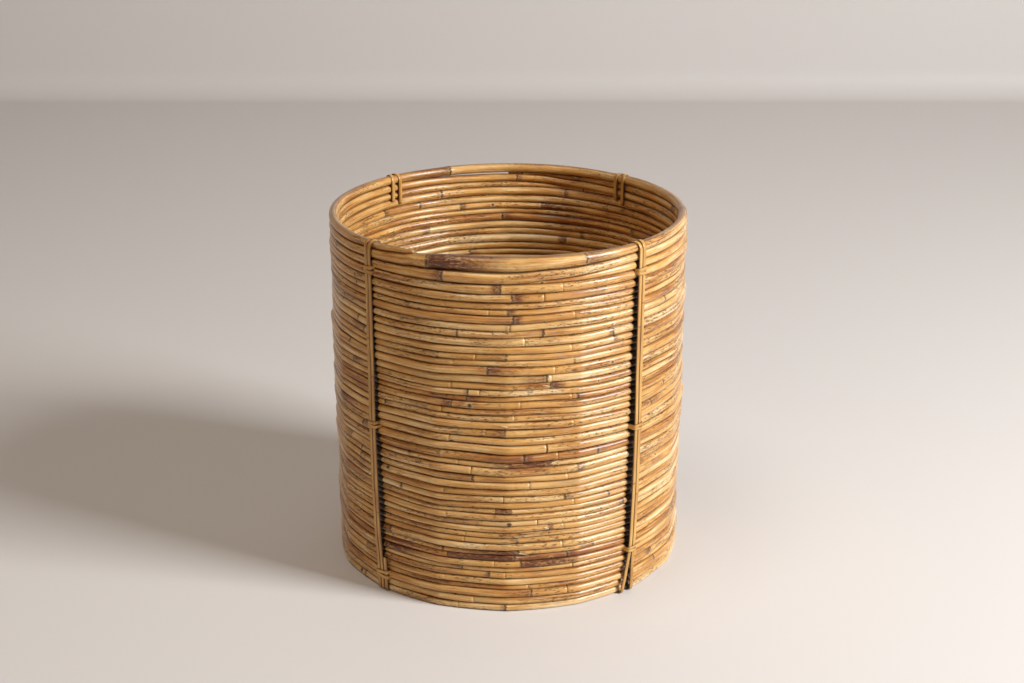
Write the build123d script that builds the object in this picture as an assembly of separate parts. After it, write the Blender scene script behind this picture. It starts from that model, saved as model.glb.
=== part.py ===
from build123d import *

import math
import os

# A round wastebasket of stacked rattan rods. Millimetres, +Z up, origin at the middle of the foot.
# The front seam faces -Y. A "travel" angle starts at the front seam and goes left, back, right (degrees).

# ------------------------------------------------------------------ whole basket
HEIGHT = 305.0                # foot to the top of the rim
WALL_RADIUS_TOP = 148.2       # centre line of the wall rods under the rim
WALL_RADIUS_FOOT = 146.6      # centre line of the lowest wall rod
ROD_GAP = 0.1                 # clearance between rods that lie on each other
SECTION_STEP = 6.0            # degrees between the cross sections of a tapering rod
FLUSH_ROD = 8.1               # a tapering rod thicker than this grows inwards, flush with the wall outside

# ------------------------------------------------------------------ top three courses
TOP_ZONE = 21.8               # height above the plain hoops, filled by the rim rod and the wedge rod
# (travel, thickness): the rim rod starts as a tail, is thickest at the front and runs on under its own tail
RIM_THICKNESS = [
    (30, 2.6), (34, 3.8), (44, 5.4), (62, 7.2), (150, 8.0), (200, 8.1), (290, 7.4), (318, 7.3),
    (345, 11.0), (360, 12.9), (378, 12.2), (384, 10.9), (392, 9.8), (404, 8.5), (430, 7.4), (500, 7.2),
    (530, 6.8), (600, 6.8), (675, 7.0),
]
RIM_END = 714.0               # past the last knot the rim rod tapers in the room that is left, up to here
RIM_TAIL = RIM_THICKNESS[0][0]
TAIL_DIP = 15.0               # degrees over which the rim rod dips before its tail covers it
# (travel, thickness): the wedge rod starts at the back; past the front it fills the room that is left
WEDGE_THICKNESS = [
    (180, 1.2), (190, 2.0), (203, 4.3), (234, 6.6), (290, 7.1), (318, 7.2), (330, 7.3), (350, 8.0),
    (360, 8.7),
]
WEDGE_END = 578.0
WEDGE_STEP = 12.0             # degrees over which the rim rod comes down past the wedge rod's end
SLIT = [(508, 0.0), (520, 0.9), (530, 1.3), (540, 1.6), (545, 1.7)]  # (travel, open height under the rim)

# ------------------------------------------------------------------ plain hoops, from the top down
HOOP_THICKNESSES = [
    7.8, 6.9, 5.9, 4.9, 7.0, 6.3, 5.9, 7.5, 6.3, 5.3, 5.7, 7.3,
    6.8, 6.0, 5.3, 4.8, 6.0, 5.3, 5.5, 6.4, 6.8, 6.4, 7.7, 7.3,
    4.4, 7.3, 5.7, 6.4, 6.3, 5.5, 5.5, 4.6, 5.9, 5.0, 5.5, 4.6,
    5.5, 6.3, 4.2, 5.5, 5.9, 4.3, 5.6, 5.8, 4.3, 6.7, 6.3, 6.3,
]
HOOP_STRAY = 0.3              # how far a hoop's radius strays from the wall's centre line
STRAY_WAVE = 2.4              # radians from one hoop to the next in the wave that sets the stray
BUTT_GAP = 0.3                # degrees between the two cut ends of a hoop
BUTT_SPREAD = 21.0            # degrees by which the cut ends stray from the front seam
SEAM_WAVE = 1.7               # radians from one hoop to the next in the wave that sets the seam
SEAM_START = 0.9              # radians at the first hoop
FOOT_TRIM = 0.5               # planed off the underside of the lowest hoop

# ------------------------------------------------------------------ base
BASE_HOOP_ROD = 9.0
BASE_HOOP_RADIUS = 138.7
BASE_HOOP_LIFT = 2.5          # floor to the underside of the base hoop
BASE_ROD = 6.8
BASE_ROD_PITCH = 7.0
BASE_ROD_COUNT = 39
BASE_REACH = 142.0            # the base rods' ends stay inside this radius
BASE_BAR_PLAY = 0.3           # between an end of the base bar and the base hoop

# ------------------------------------------------------------------ bindings
STRIP_WIDTH = 3.6
STRIP_THICK = 1.1
STRIP_SPACING = 1.95          # strip centre to the middle of its pair, outside
STRIP_SPACING_INSIDE = 4.2    # the same inside the rim, where the two loops stand apart
SPLAYED_SPACING = {-1: 7.8, 1: 2.6}   # the same at a splayed foot, left and right
SPLAY_TOP = 37.0              # a splayed foot opens below this height
WALL_HALF_THICKNESS = 4.8     # wall centre line to a surface clear of every rod
# (height, distance by which the strips stand off the wall outside)
STRIP_HOLD_OFF = [(0, 0.2), (16, 0.5), (60, 2.4), (100, 3.0), (150, 2.8), (200, 1.6), (282, 0.5), (301, 0.2)]
FOOT_CLEARANCE = 0.1          # floor to the underside of a strip
# (distance in from the upright run, rise above the flat run) round each corner of the foot
FOOT_CORNER = [(0.0, 1.75), (0.5, 0.55), (1.8, 0.0)]
INNER_RUN_ENDS = (278.5, 282.0)   # heights at which the two inner runs of a pair end
FOOT_RUN_END = 9.0            # height at which a strip ends between the wall and the base hoop
FOOT_STRIP_LEVELS = [10.0, 20.0, 31.0]   # cross sections of the extra foot strip, up to its top
FOOT_STRIP_OFFSET = 6.3       # sideways from the pair's middle
STRIP_STEP = 12.0             # height between the cross sections of a strip
BEND_STEP = 20                # degrees between them where it turns over the rim
NOTCH_HEIGHT = 1.4            # notch under the lowest hoop for the strips
NOTCH_PLAY = 0.1              # between a strip and the notch in the base hoop
# name: (angle at the rim, angle at the foot, splayed foot, extra foot strip); 0 = front, 90 = right
STATIONS = {
    "front_left": (-47.0, -44.7, False, True),
    "front_right": (44.3, 42.0, True, False),
    "back_right": (136.0, 136.0, False, False),
    "back_left": (224.6, 224.6, False, False),
}
TIES = [(282.0, 6.0), (150.0, 5.0)]  # (height of the middle, band height)
LOW_TIE = (15.0, 6.0)
SPLAYED_LOW_TIE = (40.0, 5.0)
TIE_THICK = 0.9
TIE_PLAY = 0.12

# ------------------------------------------------------------------ brads
BRAD_RADIUS = 0.6
BRAD_HEAD_RADIUS = 1.0
BRAD_HEAD_THICK = 0.4
BRAD_SINK = 0.4               # how far a head is sunk into its rod
BRAD_LINES = 16               # vertical lines of brads round the wall
BRADS_PER_HOOP = 4            # each hoop uses every fourth line
BRAD_LENGTH = 9.4
RIM_BRADS = 8
RIM_BRAD_LENGTH = 18.5
RIM_BRAD_START = 185.0        # travel of the brad that crosses the slit at the back
LANE_BRAD_TOP = 289.0         # brads that pin the third course to the first hoop
BASE_BRAD_LENGTH = 12.0
RODS_PER_BAR_BRAD = 4         # every fourth base rod is pinned to the base bar
WALL_BRADS = 8
WALL_BRAD_HEIGHT = 8.5        # horizontal brads from the base hoop into the wall
WALL_BRAD_LENGTH = 12.5

# ------------------------------------------------------------------ derived
HOOPS_TOP = HEIGHT - TOP_ZONE
HOOP_SCALE = (HOOPS_TOP + FOOT_TRIM) / sum(HOOP_THICKNESSES)
BASE_HOOP_Z = BASE_HOOP_LIFT + BASE_HOOP_ROD / 2
BASE_ROD_Z = BASE_HOOP_LIFT + BASE_HOOP_ROD + ROD_GAP + BASE_ROD / 2


def ease(t):
    """0 to 1 with a soft start and end."""
    t = min(max(t, 0.0), 1.0)
    return t * t * (3 - 2 * t)


def follow(knots, x):
    """Value at x of a curve that eases from knot to knot."""
    if x <= knots[0][0]:
        return knots[0][1]
    for (x0, y0), (x1, y1) in zip(knots, knots[1:]):
        if x <= x1:
            return y0 + (y1 - y0) * ease((x - x0) / (x1 - x0))
    return knots[-1][1]


def wall_radius(z):
    """Centre line of the wall at height z."""
    return WALL_RADIUS_FOOT + (WALL_RADIUS_TOP - WALL_RADIUS_FOOT) * z / HEIGHT


def at_travel(travel, radius, z):
    """Point reached by going round from the front seam to the left."""
    a = math.radians(travel)
    return Vector(-radius * math.sin(a), -radius * math.cos(a), z)


def at_angle(angle, radius, z):
    """Point at an angle from the front, positive to the right."""
    return at_travel(-angle, radius, z)


# ------------------------------------------------------------------ rods
def tapering_rod(start, end, thickness, height):
    """Rod that runs round the wall from travel start to end; thickness and height are functions of travel."""
    count = math.ceil((end - start) / SECTION_STEP)

    def centre(travel):
        inward = max(thickness(travel) - FLUSH_ROD, 0) / 2
        return at_travel(travel, WALL_RADIUS_TOP - inward, height(travel))

    sections = []
    for i in range(count + 1):
        travel = start + (end - start) * i / count
        tangent = centre(travel + 0.5) - centre(travel - 0.5)
        outward = at_travel(travel, 1, 0)
        plane = Plane(origin=centre(travel), x_dir=outward, z_dir=tangent)
        sections.append(plane * Circle(thickness(travel) / 2))
    return loft(sections, ruled=True)


def rim_thickness(travel):
    """The end tapers to fill the room under the first turns of both rods."""
    last_knot, full = RIM_THICKNESS[-1]
    if travel <= last_knot:
        return follow(RIM_THICKNESS, travel)
    above = rim_thickness(travel - 360) + wedge_thickness(travel - 360)
    return min(full, TOP_ZONE - 3 * ROD_GAP - above)


def wedge_thickness(travel):
    """The second turn fills the room that the rim rod leaves above the plain hoops."""
    if travel <= 360:
        return follow(WEDGE_THICKNESS, travel)
    above = tail_cover(travel) + opening(travel) + rim_thickness(travel)
    return TOP_ZONE - 2 * ROD_GAP - above


def tail_cover(travel):
    """Depth by which the rim rod's tail presses down its own second turn."""
    behind = travel - 360
    if behind >= RIM_TAIL:
        return rim_thickness(behind) + ROD_GAP
    return (rim_thickness(RIM_TAIL) + ROD_GAP) * ease(1 + (behind - RIM_TAIL) / TAIL_DIP)


def opening(travel):
    """Height between the two turns of the rim rod: the slit, then the start of the wedge rod."""
    if travel <= SLIT[-1][0]:
        return follow(SLIT, travel)
    return wedge_thickness(travel - 360) + ROD_GAP


def wedge_support(travel):
    """Height of the wedge rod that lies under the rim rod's second turn."""
    if travel <= WEDGE_END:
        return wedge_thickness(travel) + ROD_GAP
    return wedge_support(WEDGE_END) * (1 - ease((travel - WEDGE_END) / WEDGE_STEP))


def rim_height(travel):
    half = rim_thickness(travel) / 2
    if travel <= 360:
        return HEIGHT - half
    return HOOPS_TOP + ROD_GAP + wedge_support(travel) + half


def wedge_height(travel):
    half = wedge_thickness(travel) / 2
    if travel <= 360:
        return HEIGHT - rim_thickness(travel) - ROD_GAP - half
    return HOOPS_TOP + ROD_GAP + half


def rim_rod():
    return tapering_rod(RIM_TAIL, RIM_END, rim_thickness, rim_height)


def wedge_rod():
    return tapering_rod(WEDGE_THICKNESS[0][0], WEDGE_END, wedge_thickness, wedge_height)


def hoop_layout():
    """(centre height, rod diameter, hoop radius, seam angle) of each plain hoop, from the top."""
    layout = []
    top = HOOPS_TOP
    for i, thickness in enumerate(HOOP_THICKNESSES):
        pitch = thickness * HOOP_SCALE
        z = top - pitch / 2
        radius = wall_radius(z) + HOOP_STRAY * math.sin(STRAY_WAVE * i)
        seam = BUTT_SPREAD * math.sin(SEAM_WAVE * i + SEAM_START)
        layout.append((z, pitch - ROD_GAP, radius, seam))
        top -= pitch
    return layout


def hoop(z, rod, radius, seam):
    """Rod bent into a ring, with a narrow butt joint at the seam angle."""
    ring = Torus(radius, rod / 2, major_angle=360 - BUTT_GAP)
    return Pos(0, 0, z) * Rot(0, 0, seam - 90 + BUTT_GAP / 2) * ring


def notches(radius, depth, height):
    """Boxes that clear the feet of the four bindings; radius is the boxes' middle."""
    boxes = []
    for _, angle, splayed, extra in STATIONS.values():
        left = -foot_spacing(splayed, -1) - STRIP_WIDTH
        right = foot_spacing(splayed, 1) + STRIP_WIDTH
        if extra:
            right = FOOT_STRIP_OFFSET + STRIP_WIDTH
        box = Pos((left + right) / 2, -radius, 0) * Box(right - left, depth, height)
        boxes.append(Rot(0, 0, angle) * box)
    return boxes


def foot_hoop(z, rod, radius, seam):
    """Lowest hoop: planed flat underneath, with a notch under each binding."""
    ring = hoop(z, rod, radius, seam)
    size = 4 * radius
    ring -= Pos(0, 0, -rod) * Box(size, size, 2 * rod)
    for notch in notches(radius, 4 * rod, 2 * NOTCH_HEIGHT):
        ring -= notch
    return ring


# ------------------------------------------------------------------ base
def base_hoop():
    """Rod ring against the inside of the wall, notched outside where the bindings pass."""
    ring = hoop(BASE_HOOP_Z, BASE_HOOP_ROD, BASE_HOOP_RADIUS, 0)
    depth = BASE_HOOP_ROD
    bottom = inner_line(0) - STRIP_THICK / 2 - NOTCH_PLAY
    for notch in notches(bottom + depth / 2, depth, 4 * BASE_HOOP_ROD):
        ring -= notch
    return ring


def base_rod_layout():
    """(x, half length) of each base rod."""
    first = -(BASE_ROD_COUNT - 1) / 2 * BASE_ROD_PITCH
    rods = []
    for i in range(BASE_ROD_COUNT):
        x = first + i * BASE_ROD_PITCH
        far_side = abs(x) + BASE_ROD / 2
        rods.append((x, math.sqrt(BASE_REACH**2 - far_side**2)))
    return rods


def base_rods():
    return [
        Pos(x, 0, BASE_ROD_Z) * Rot(90, 0, 0) * Cylinder(BASE_ROD / 2, 2 * half)
        for x, half in base_rod_layout()
    ]


def base_bar():
    length = 2 * (BASE_HOOP_RADIUS - BASE_HOOP_ROD / 2 - BASE_BAR_PLAY)
    return Pos(0, 0, BASE_HOOP_Z) * Rot(0, 90, 0) * Cylinder(BASE_HOOP_ROD / 2, length)


# ------------------------------------------------------------------ bindings
def station_angle(station, z):
    rim_angle, foot_angle, _, _ = STATIONS[station]
    return foot_angle + (rim_angle - foot_angle) * z / HEIGHT


def outer_line(z):
    """Radius of the middle of a strip outside the wall."""
    return wall_radius(z) + WALL_HALF_THICKNESS + follow(STRIP_HOLD_OFF, z) + STRIP_THICK / 2


def inner_line(z):
    """Radius of the middle of a strip inside the wall."""
    return wall_radius(z) - WALL_HALF_THICKNESS - STRIP_THICK / 2


def foot_spacing(splayed, side):
    """Strip centre to the middle of its pair at the foot; side is -1 or 1."""
    return SPLAYED_SPACING[side] if splayed else STRIP_SPACING


def foot_path(spacing):
    """(radius, z, sideways) from inside the wall, under the lowest hoop, to the outside."""
    inner, outer = inner_line(0), outer_line(0)
    under = FOOT_CLEARANCE + STRIP_THICK / 2
    path = [(inner, FOOT_RUN_END, spacing)]
    path += [(inner + along, under + rise, spacing) for along, rise in FOOT_CORNER]
    path += [(outer - along, under + rise, spacing) for along, rise in reversed(FOOT_CORNER)]
    return path


def strip_path(splayed, side, inner_end):
    """(radius, z, sideways) of a whole strip, from its tucked foot to its end inside the rim."""
    splay = foot_spacing(splayed, side) - STRIP_SPACING
    path = foot_path(STRIP_SPACING + splay)
    bend_z = HEIGHT - WALL_HALF_THICKNESS
    rise = math.ceil((bend_z - path[-1][1]) / STRIP_STEP)
    start = path[-1][1]
    for i in range(1, rise + 1):
        z = start + (bend_z - start) * i / rise
        spacing = STRIP_SPACING + splay * max(1 - z / SPLAY_TOP, 0)
        path.append((outer_line(z), z, spacing))
    bend = outer_line(HEIGHT) - WALL_RADIUS_TOP
    for degrees in range(BEND_STEP, 180, BEND_STEP):
        a = math.radians(degrees)
        spacing = STRIP_SPACING + (STRIP_SPACING_INSIDE - STRIP_SPACING) * ease(degrees / 180)
        path.append((WALL_RADIUS_TOP + bend * math.cos(a), bend_z + bend * math.sin(a), spacing))
    path.append((inner_line(bend_z), bend_z, STRIP_SPACING_INSIDE))
    path.append((inner_line(inner_end), inner_end, STRIP_SPACING_INSIDE))
    return path


def strip(station, path, side):
    """Flat strip along a path in the station's radial plane; side is -1 or 1."""
    sections = []
    for i, (radius, z, sideways) in enumerate(path):
        before, after = path[max(i - 1, 0)], path[min(i + 1, len(path) - 1)]
        angle = station_angle(station, z)
        outward, across = at_angle(angle, 1, 0), at_angle(angle + 90, 1, 0)
        centre = outward * radius + across * (side * sideways) + Vector(0, 0, z)
        along = outward * (after[0] - before[0]) + Vector(0, 0, after[1] - before[1])
        plane = Plane(origin=centre, x_dir=across, z_dir=along)
        sections.append(plane * Rectangle(STRIP_WIDTH, STRIP_THICK))
    return loft(sections, ruled=True)


def foot_strip(station):
    """Short extra strip beside the pair, tucked under the lowest hoop."""
    path = foot_path(FOOT_STRIP_OFFSET)
    for z in FOOT_STRIP_LEVELS:
        path.append((outer_line(z), z, FOOT_STRIP_OFFSET))
    return strip(station, path, 1)


def tie(station, z, band, extra):
    """Band of cane round the strips, open towards the wall."""
    right = STRIP_SPACING + STRIP_WIDTH / 2 + TIE_PLAY
    left = -right
    if extra and z < FOOT_STRIP_LEVELS[-1]:
        right = FOOT_STRIP_OFFSET + STRIP_WIDTH / 2 + TIE_PLAY
    wall = wall_radius(z) + WALL_HALF_THICKNESS
    steepest = max(outer_line(z - band / 2), outer_line(z + band / 2))
    face = steepest + STRIP_THICK / 2 + TIE_PLAY
    outline = [
        (left - TIE_THICK, wall),
        (left - TIE_THICK, face + TIE_THICK),
        (right + TIE_THICK, face + TIE_THICK),
        (right + TIE_THICK, wall),
        (right, wall),
        (right, face),
        (left, face),
        (left, wall),
    ]
    points = [(across, -radius) for across, radius in outline]
    shape = make_face(Polyline(*points, close=True))
    return Pos(0, 0, z - band / 2) * Rot(0, 0, station_angle(station, z)) * extrude(shape, band)


def binding(station):
    _, _, splayed, extra = STATIONS[station]
    pieces = [
        strip(station, strip_path(splayed, side, inner_end), side)
        for side, inner_end in zip((-1, 1), INNER_RUN_ENDS)
    ]
    if extra:
        pieces.append(foot_strip(station))
    low_tie = SPLAYED_LOW_TIE if splayed else LOW_TIE
    pieces += [tie(station, z, band, extra) for z, band in TIES + [low_tie]]
    return pieces


# ------------------------------------------------------------------ brads
def brad(length):
    """Headed brad, pointing down from its head at the origin."""
    shank = Pos(0, 0, -length / 2) * Cylinder(BRAD_RADIUS, length)
    head = Pos(0, 0, -BRAD_HEAD_THICK / 2) * Cylinder(BRAD_HEAD_RADIUS, BRAD_HEAD_THICK)
    return shank + head


def hoop_brads():
    """Each hoop is pinned to the one below on every fourth line of the wall."""
    pin = brad(BRAD_LENGTH)
    pins = []
    layout = hoop_layout()
    for i, (z, rod, radius, _) in enumerate(layout[:-1]):
        for k in range(BRADS_PER_HOOP):
            line = k * BRAD_LINES // BRADS_PER_HOOP + i % BRADS_PER_HOOP
            place = at_angle((line + 0.5) * 360 / BRAD_LINES, radius, z + rod / 2 - BRAD_SINK)
            pins.append(Pos(*place) * pin)
    return pins


def rim_brads():
    """Long brads down through the rim rod, and short ones from the third course into the first hoop."""
    long_pin, short_pin = brad(RIM_BRAD_LENGTH), brad(BRAD_LENGTH)
    step = 360 / RIM_BRADS
    pins = []
    for k in range(RIM_BRADS):
        travel = RIM_BRAD_START + k * step
        pins.append(Pos(*at_travel(travel, WALL_RADIUS_TOP, HEIGHT - BRAD_SINK)) * long_pin)
        pins.append(Pos(*at_travel(travel + step / 2, WALL_RADIUS_TOP, LANE_BRAD_TOP)) * short_pin)
    return pins


def base_brads():
    """Brads up through the base hoop and bar into the base rods, and out of the base hoop into the wall."""
    up = Rot(180, 0, 0) * brad(BASE_BRAD_LENGTH)
    z = BASE_HOOP_LIFT + BRAD_SINK
    pins = []
    for i, (x, _) in enumerate(base_rod_layout()):
        if abs(x) < BASE_HOOP_RADIUS - BASE_HOOP_ROD:
            y = math.sqrt(BASE_HOOP_RADIUS**2 - x**2)
            pins += [Pos(x, y, z) * up, Pos(x, -y, z) * up]
        if i % RODS_PER_BAR_BRAD == RODS_PER_BAR_BRAD - 1:
            pins.append(Pos(x, 0, z) * up)
    out = Rot(-90, 0, 0) * brad(WALL_BRAD_LENGTH)
    inside = BASE_HOOP_RADIUS - BASE_HOOP_ROD / 2 + BRAD_SINK
    for k in range(WALL_BRADS):
        turn = Rot(0, 0, (k + 0.5) * 360 / WALL_BRADS)
        pins.append(turn * Pos(0, inside, WALL_BRAD_HEIGHT) * out)
    return pins


def brads():
    return hoop_brads() + rim_brads() + base_brads()


# ------------------------------------------------------------------ nodes
def nodes():
    """Every node's name and shape, or list of separate shapes."""
    yield "rim_rod", rim_rod()
    yield "wedge_rod", wedge_rod()
    layout = hoop_layout()
    for number, place in enumerate(layout, 1):
        make = foot_hoop if number == len(layout) else hoop
        yield f"hoop_{number:02d}", make(*place)
    yield "base_hoop", base_hoop()
    yield "base_rods", base_rods()
    yield "base_bar", base_bar()
    for station in STATIONS:
        yield f"binding_{station}", binding(station)
    yield "brads", brads()


os.makedirs("parts", exist_ok=True)
for name, shape in nodes():
    if isinstance(shape, list):
        shape = Compound(children=shape)
    export_step(shape, f"parts/{name}.step")
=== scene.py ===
import math

import bpy
import numpy as np
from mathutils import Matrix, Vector


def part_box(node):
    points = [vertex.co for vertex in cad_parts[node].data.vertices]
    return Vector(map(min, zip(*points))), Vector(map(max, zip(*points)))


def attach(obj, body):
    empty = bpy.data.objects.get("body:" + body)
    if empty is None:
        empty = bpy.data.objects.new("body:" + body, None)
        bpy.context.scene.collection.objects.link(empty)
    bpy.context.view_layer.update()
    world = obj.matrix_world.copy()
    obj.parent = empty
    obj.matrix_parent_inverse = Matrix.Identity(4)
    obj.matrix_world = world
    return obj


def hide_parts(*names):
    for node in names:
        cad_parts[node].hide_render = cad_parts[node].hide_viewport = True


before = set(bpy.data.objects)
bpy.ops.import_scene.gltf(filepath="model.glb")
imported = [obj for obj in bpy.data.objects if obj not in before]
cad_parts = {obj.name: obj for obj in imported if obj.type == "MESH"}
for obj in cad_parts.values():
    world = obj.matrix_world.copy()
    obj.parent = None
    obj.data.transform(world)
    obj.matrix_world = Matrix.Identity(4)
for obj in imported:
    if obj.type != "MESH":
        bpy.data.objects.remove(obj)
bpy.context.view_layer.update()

# A rattan wastebasket. The frame is in metres; rods are worked out in millimetres and scaled once.
# "Travel" is an angle in degrees that starts at the front seam (-Y) and goes left, back, right.
MM = 0.001
FULL_TURN = 360.0

# ------------------------------------------------------------------ basket (mm), as in the CAD
HEIGHT = 305.0
WALL_RADIUS_TOP = 148.2
WALL_RADIUS_FOOT = 146.6
TOP_ZONE = 21.8
HOOPS_TOP = HEIGHT - TOP_ZONE
ROD_GAP = 0.1
FLUSH_ROD = 8.1
RIM_THICKNESS = [
    (30, 2.6), (34, 3.8), (44, 5.4), (62, 7.2), (150, 8.0), (200, 8.1), (290, 7.4), (318, 7.3),
    (345, 11.0), (360, 12.9), (378, 12.2), (384, 10.9), (392, 9.8), (404, 8.5), (430, 7.4), (500, 7.2),
    (530, 6.8), (600, 6.8), (675, 7.0),
]
RIM_END = 714.0
RIM_TAIL = RIM_THICKNESS[0][0]
TAIL_DIP = 15.0
WEDGE_THICKNESS = [
    (180, 1.2), (190, 2.0), (203, 4.3), (234, 6.6), (290, 7.1), (318, 7.2), (330, 7.3), (350, 8.0),
    (360, 8.7),
]
WEDGE_END = 578.0
WEDGE_STEP = 12.0
SLIT = [(508, 0.0), (520, 0.9), (530, 1.3), (540, 1.6), (545, 1.7)]
BUTT_SPREAD = 21.0
HOOP_COUNT = 48
BASE_ROD_COUNT = 39
DARK_HOOPS = (24, 40)

# ------------------------------------------------------------------ natural irregularity
ROD_STEP = 0.75               # degrees between cross sections of a rod
ROD_SIDES = 16
STRAIGHT_ROD_SIDES = 12
STRAIGHT_ROD_STEP = 4.0       # mm between cross sections of a base rod
END_DOME = [(0.82, 0.04), (0.95, 0.12)]    # rings that round a cut end: share of the radius, setback
END_DEPTH = 0.16              # how far a cut end stands out, as a share of the radius
FACETS = 16                   # straight runs between the lines of brads
FACET_DEPTH = 1.25            # mm by which a run lies inside the round
FACETS_TOP = (200.0, 292.0)   # the runs soften into a true circle over these heights
ROD_PLUMP = 0.3               # mm by which rods are thicker than in the CAD, so that no light shows through
WEDGE_PLUMP = 0.35            # the same again at the thin end of the wedge rod
WEDGE_PLUMP_FROM = 540.0      # travel at which that begins, and the degrees it takes
WEDGE_PLUMP_OVER = 20.0
WEDGE_SLIVER = 0.8            # share of the wedge's end step that a last sliver fills
INTERNODE = (210.0, 600.0)    # mm between the nodes of a rod
NODE_SWELL = 0.055            # share by which a rod is thicker at a node
NODE_WIDTH = 2.2
MARK_CLEARANCE = 60.0         # mm round a known node without a random one
FAR = 400.0                   # mm, for a rod without nodes
KNOT_SPACING = 240.0
KNOT_SIZE = (0.7, 1.7)
HOOP_TONE = (0.42, 0.085)     # mean and spread; 0 is pale, 1 is dark
HOOP_TONE_LIMITS = (0.26, 0.60)
DARK_TONE = 0.62
RIM_TONE = 0.48
WEDGE_TONE = 0.44
BASE_TONE = 0.45
ROD_PATTERN_SHIFT = 977.0     # mm between the patterns of two rods
BASE_HOOP_PATTERN = 88000.0
SPLINTER_PATTERN = 4000.0
BUTT_GAP = 0.02               # degrees either side of a butt joint, closed or open
OPEN_BUTT_GAP = 0.14
FLOOR_GAP = 0.05              # mm from the floor to the planed underside of the lowest hoop
BASE_NOTCH = 2.6              # mm by which the base hoop is thinner where the bindings pass
BASE_NOTCH_REACH = 4.6        # degrees either side of a binding, and the degrees it takes to end
BASE_NOTCH_END = 1.0
# hoop number: (travel, stain length in mm, stain strength, side of the stain, tone beyond) of its known nodes
MARKS = {
    1: [(2.3, 9, 0.9, 1, None), (200.8, 5, 0.9, 1, None)],
    2: [(-1.2, 11, 0.9, -1, None), (130.0, 6, 0.9, 1, None), (146.2, 3, 0.6, 1, 0.32)],
    3: [(162.6, 6, 1.0, 1, None), (192.0, 46, 0.9, 1, 0.50)],
    4: [(0.0, 7, 1.0, -1, None), (31.0, 5, 0.7, 1, 0.46)],
    5: [(-1.5, 9, 1.0, -1, None), (229.8, 5, 0.9, 1, None)],
    6: [(-0.3, 3, 0.7, 1, None), (149.8, 10, 0.8, -1, None)],
    7: [(-10.8, 3, 0.7, 1, None), (207.3, 5, 0.9, 1, None)],
    8: [(-34.0, 5, 0.9, 1, 0.36), (201.3, 9, 1.0, -1, None)],
    9: [(-34.5, 5, 0.9, -1, None)],
    10: [(0.6, 22, 0.4, 1, 0.34), (165.5, 12, 0.8, 1, None)],
    12: [(6.0, 13, 0.8, -1, None)],
    13: [(-12.0, 26, 0.6, 1, 0.33)],
    14: [(-13.3, 14, 1.0, -1, None)],
    15: [(12.4, 4, 0.6, 1, None)],
    16: [(-22.0, 8, 0.7, -1, None)],
    18: [(25.1, 30, 0.5, 1, 0.36)],
    21: [(0.9, 20, 0.6, 1, 0.44)],
    24: [(21.6, 3, 0.8, 1, None), (-5.0, 8, 0.8, -1, None)],
    25: [(-13.5, 62, 1.0, 1, None)],
    26: [(-22.0, 8, 0.9, -1, None)],
    27: [(11.0, 40, 0.5, 1, 0.42)],
    30: [(-18.0, 9, 0.7, -1, None)],
    32: [(-0.9, 26, 0.8, 1, 0.40)],
    35: [(-12.7, 5, 0.9, -1, None)],
    37: [(-2.8, 6, 0.8, 1, None)],
    39: [(-3.1, 46, 1.0, 1, None)],
    40: [(-2.0, 120, 1.0, 1, 0.60), (-19.0, 9, 0.8, -1, None)],
    41: [(-4.0, 60, 1.0, -1, None), (43.0, 44, 0.9, -1, None)],
    43: [(6.0, 5, 0.8, 1, None)],
}
# (hoop number, travel, length, rise off the rod, drop) in mm of the splinters that stand off the wall
SPLINTERS = [
    (25, -13.6, -6.0, 1.3, 2.2), (25, -14.2, -4.5, 1.8, -1.4), (26, -22.3, -6.5, 1.2, 1.5),
    (35, -12.6, 4.0, 1.0, 2.0), (39, -3.2, -7.0, 1.6, 1.8), (39, -3.4, -8.0, 1.2, -1.5),
    (14, -12.9, 6.0, 1.3, 2.0), (20, 0.2, 5.0, 1.2, 1.6), (7, -34.0, -5.0, 1.1, 2.4),
]


def ease(t):
    """0 up to t = 0, 1 from t = 1, with a soft start and end between."""
    t = np.clip(t, 0.0, 1.0)
    return t * t * (3 - 2 * t)


def follow(knots, x):
    """Values at x of a curve that eases from knot to knot."""
    x = np.asarray(x, float)
    xs = np.array([k[0] for k in knots], float)
    ys = np.array([k[1] for k in knots], float)
    i = np.clip(np.searchsorted(xs, x, side="right") - 1, 0, len(xs) - 2)
    t = ease((x - xs[i]) / (xs[i + 1] - xs[i]))
    return ys[i] + (ys[i + 1] - ys[i]) * t


def wall_radius(z):
    """Radius of the rods' centre line at a height."""
    return WALL_RADIUS_FOOT + (WALL_RADIUS_TOP - WALL_RADIUS_FOOT) * np.asarray(z) / HEIGHT


# ------------------------------------------------------------------ shared shape of the wall
def bulge(travel, z):
    """Soft unevenness of the whole wall, in mm outwards, with the facets between the brads."""
    a = np.radians(travel)
    soft = 0.55 * np.sin(2 * a + 0.021 * z + 1.0) + 0.35 * np.sin(3 * a - 0.05 * z)
    soft += 0.25 * np.sin(5 * a + 0.09 * z + 2.0) + 0.3 * np.sin(0.12 * z + 1.5 * np.sin(a))
    run = FULL_TURN / FACETS
    off_line = np.abs((np.asarray(travel) / run + 0.5) % 1.0 - 0.5) * 2
    facet = -FACET_DEPTH * (1 - (1 - off_line) ** 2) + FACET_DEPTH * 0.6
    facet = facet * (1 - ease((np.asarray(z) - FACETS_TOP[0]) / (FACETS_TOP[1] - FACETS_TOP[0])))
    return soft + facet


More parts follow.
